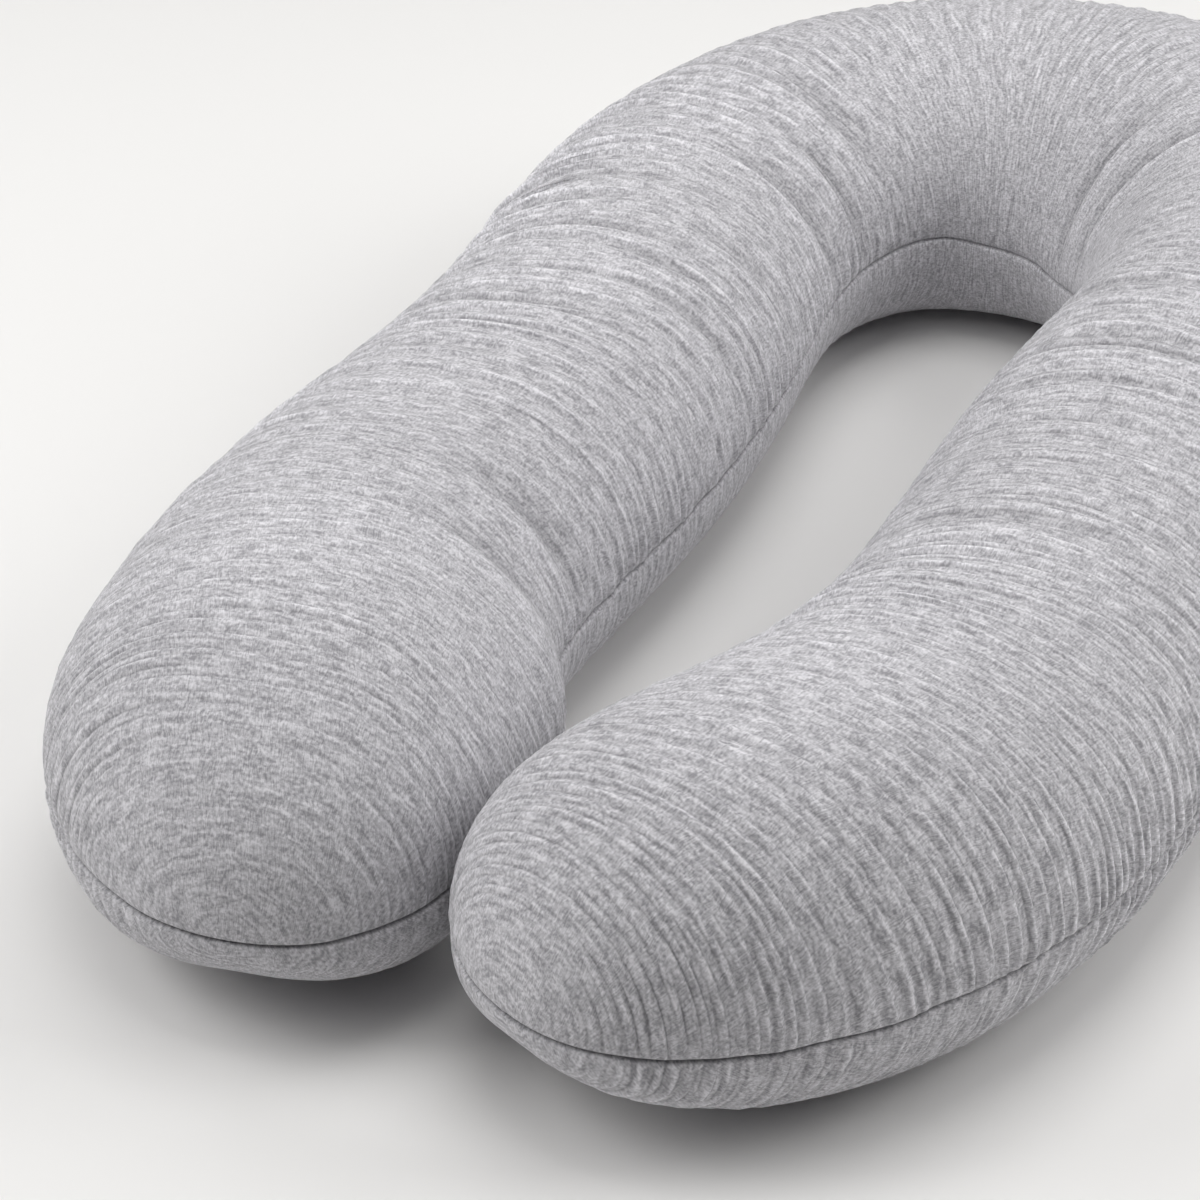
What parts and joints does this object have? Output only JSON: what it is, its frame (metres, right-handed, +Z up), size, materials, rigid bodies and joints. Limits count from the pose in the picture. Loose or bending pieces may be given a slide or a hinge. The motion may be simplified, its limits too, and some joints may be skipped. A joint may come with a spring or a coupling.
{
  "type": "u-shaped pregnancy pillow",
  "caption": "U-shaped filled body pillow in heather jersey, with a perimeter seam and rounded tips that curve in until they touch.",
  "frame": {"origin": "centre of the pillow's bounding box, on the surface that it lies on", "axes": "+Z up from the surface; +Y from the two tips towards the bend; +X towards the right leg"},
  "size_m": [0.7595, 1.293, 0.2314],
  "materials": {
    "jersey": "brushed heather jersey, matt"
  },
  "bodies": {
    "root": {"pillow": "jersey"}
  },
  "joints": []
}
